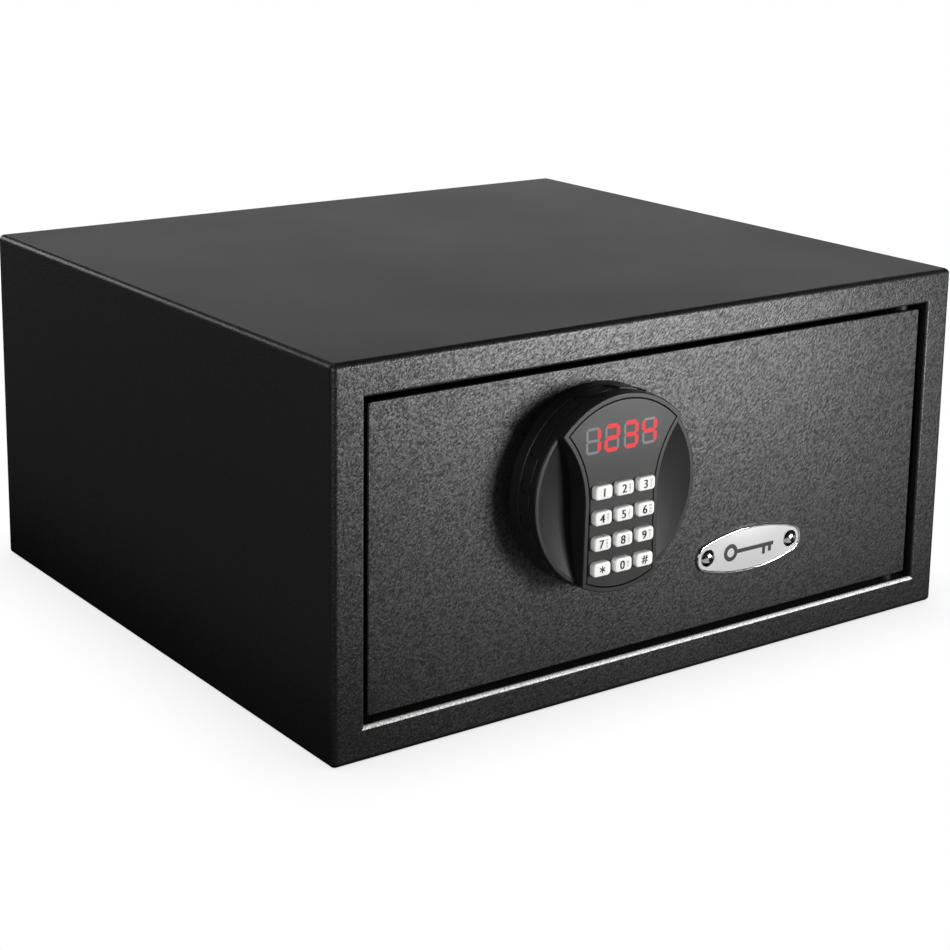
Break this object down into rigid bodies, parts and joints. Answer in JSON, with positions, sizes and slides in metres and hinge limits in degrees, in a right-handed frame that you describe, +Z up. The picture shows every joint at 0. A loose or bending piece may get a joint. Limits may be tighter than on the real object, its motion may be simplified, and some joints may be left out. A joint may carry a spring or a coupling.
{
  "type": "in-room safe",
  "caption": "Laptop-size hotel room safe: folded steel cabinet with a front-hinged door, a turning keypad knob with a lit display, sliding bolts and an override lock behind a badge.",
  "frame": {"origin": "centre of the base's underside, midway between the floor anchor holes", "axes": "+Z up, -Y out of the front face, +X to the right seen from the front; the cabinet is widest along X and lowest along Z"},
  "size_m": [0.415, 0.399, 0.2],
  "materials": {
    "cabinet_paint": "textured black powder coat, satin",
    "door_paint": "textured black powder coat, satin",
    "carpet": "needle-felt carpet",
    "zinc_steel": "bright zinc plate",
    "polished_steel": "ground steel",
    "bronze": "sintered bronze",
    "brass": "machined",
    "white_plastic": "moulded acetal",
    "copper_winding": "taped winding",
    "circuit_board": "solder mask",
    "black_component": "moulded",
    "cable_jacket": "smooth jacket",
    "tray_plastic": "fine moulded texture",
    "battery_can": "plain wrapped cell",
    "red_plastic": "moulded",
    "knob_plastic": "fine moulded texture",
    "panel_plastic": "fine matte texture",
    "display_smoke": "smoked window in the panel colour",
    "grey_rubber": "silicone sheet",
    "key_white": "pearl white, satin",
    "badge_metal": "brushed field with polished rim",
    "chrome": "polished"
  },
  "bodies": {
    "cabinet": {"body_shell": "cabinet_paint", "back_panel": "cabinet_paint", "door_jamb": "cabinet_paint", "hinge_bushes": "black_component", "floor_mat": "carpet"},
    "door": {"door_plate": "door_paint", "hinge_blocks": "zinc_steel", "hinge_pins": "polished_steel", "hinge_spacers": "black_component", "lock_case": "door_paint", "inner_cover": "door_paint", "cover_screws": "zinc_steel", "knob_base": "knob_plastic", "base_screws": "zinc_steel", "spindle_bush": "bronze", "bush_nut": "zinc_steel", "bolt_guides": "white_plastic", "guide_studs": "zinc_steel", "solenoid_frame": "zinc_steel", "solenoid_coil": "copper_winding", "control_board": "circuit_board", "board_components": "black_component", "board_cable": "cable_jacket", "battery_tray": "tray_plastic", "batteries": "battery_can", "lock_barrel": "brass", "lock_nut": "brass", "badge_plate": "badge_metal", "badge_screws": "chrome"},
    "bolt_bar": {"bolt_bar": "zinc_steel", "locking_bolts": "polished_steel", "bolt_nuts": "zinc_steel"},
    "plunger": {"plunger": "polished_steel"},
    "reset_button": {"reset_button": "red_plastic"},
    "battery_lid": {"battery_lid": "tray_plastic"},
    "override_plug": {"lock_plug": "brass", "lock_cam": "zinc_steel"},
    "knob": {"knob_drum": "knob_plastic", "face_panel": "panel_plastic", "display_lens": "display_smoke", "display_module": "black_component", "keypad_board": "circuit_board", "key_membrane": "grey_rubber", "spindle": "zinc_steel", "spindle_screws": "zinc_steel", "drive_disc": "zinc_steel", "knob_cable": "cable_jacket"},
    "key_1": {"key_1": "key_white"},
    "key_2": {"key_2": "key_white"},
    "key_3": {"key_3": "key_white"},
    "key_4": {"key_4": "key_white"},
    "key_5": {"key_5": "key_white"},
    "key_6": {"key_6": "key_white"},
    "key_7": {"key_7": "key_white"},
    "key_8": {"key_8": "key_white"},
    "key_9": {"key_9": "key_white"},
    "key_star": {"key_star": "key_white"},
    "key_0": {"key_0": "key_white"},
    "key_hash": {"key_hash": "key_white"}
  },
  "joints": [
    {"name": "door_hinge", "type": "hinge", "parent": "cabinet", "child": "door", "pos_m": [0.176, -0.1785, 0.1], "axis": [0, 0, 1], "range_deg": [0, 100]},
    {"name": "knob_turn", "type": "hinge", "parent": "door", "child": "knob", "pos_m": [-0.05, -0.2, 0.117], "axis": [0, -1, 0], "range_deg": [0, 90]},
    {"name": "bolt_slide", "type": "slide", "parent": "door", "child": "bolt_bar", "axis": [-1, 0, 0], "range_m": [0, 0.01698]},
    {"name": "plunger_slide", "type": "slide", "parent": "door", "child": "plunger", "axis": [0, 0, 1], "range_m": [0, 0.004]},
    {"name": "override_turn", "type": "hinge", "parent": "door", "child": "override_plug", "pos_m": [0.061, -0.17, 0.06], "axis": [0, 1, 0], "range_deg": [-90, 0]},
    {"name": "reset_press", "type": "slide", "parent": "door", "child": "reset_button", "axis": [0, -1, 0], "range_m": [0, 0.001], "stiffness_N_per_m": 150},
    {"name": "battery_lid_hinge", "type": "hinge", "parent": "door", "child": "battery_lid", "pos_m": [0.0892, -0.14375, 0.125], "axis": [0, 0, -1], "range_deg": [0, 110]},
    {"name": "key_1_press", "type": "slide", "parent": "knob", "child": "key_1", "axis": [0, 1, 0], "range_m": [0, 0.001], "stiffness_N_per_m": 150},
    {"name": "key_2_press", "type": "slide", "parent": "knob", "child": "key_2", "axis": [0, 1, 0], "range_m": [0, 0.001], "stiffness_N_per_m": 150},
    {"name": "key_3_press", "type": "slide", "parent": "knob", "child": "key_3", "axis": [0, 1, 0], "range_m": [0, 0.001], "stiffness_N_per_m": 150},
    {"name": "key_4_press", "type": "slide", "parent": "knob", "child": "key_4", "axis": [0, 1, 0], "range_m": [0, 0.001], "stiffness_N_per_m": 150},
    {"name": "key_5_press", "type": "slide", "parent": "knob", "child": "key_5", "axis": [0, 1, 0], "range_m": [0, 0.001], "stiffness_N_per_m": 150},
    {"name": "key_6_press", "type": "slide", "parent": "knob", "child": "key_6", "axis": [0, 1, 0], "range_m": [0, 0.001], "stiffness_N_per_m": 150},
    {"name": "key_7_press", "type": "slide", "parent": "knob", "child": "key_7", "axis": [0, 1, 0], "range_m": [0, 0.001], "stiffness_N_per_m": 150},
    {"name": "key_8_press", "type": "slide", "parent": "knob", "child": "key_8", "axis": [0, 1, 0], "range_m": [0, 0.001], "stiffness_N_per_m": 150},
    {"name": "key_9_press", "type": "slide", "parent": "knob", "child": "key_9", "axis": [0, 1, 0], "range_m": [0, 0.001], "stiffness_N_per_m": 150},
    {"name": "key_star_press", "type": "slide", "parent": "knob", "child": "key_star", "axis": [0, 1, 0], "range_m": [0, 0.001], "stiffness_N_per_m": 150},
    {"name": "key_0_press", "type": "slide", "parent": "knob", "child": "key_0", "axis": [0, 1, 0], "range_m": [0, 0.001], "stiffness_N_per_m": 150},
    {"name": "key_hash_press", "type": "slide", "parent": "knob", "child": "key_hash", "axis": [0, 1, 0], "range_m": [0, 0.001], "stiffness_N_per_m": 150}
  ],
  "couplings": [
    {"joint": "bolt_slide", "follows": "knob_turn", "m_per_rad": 0.010804}
  ]
}
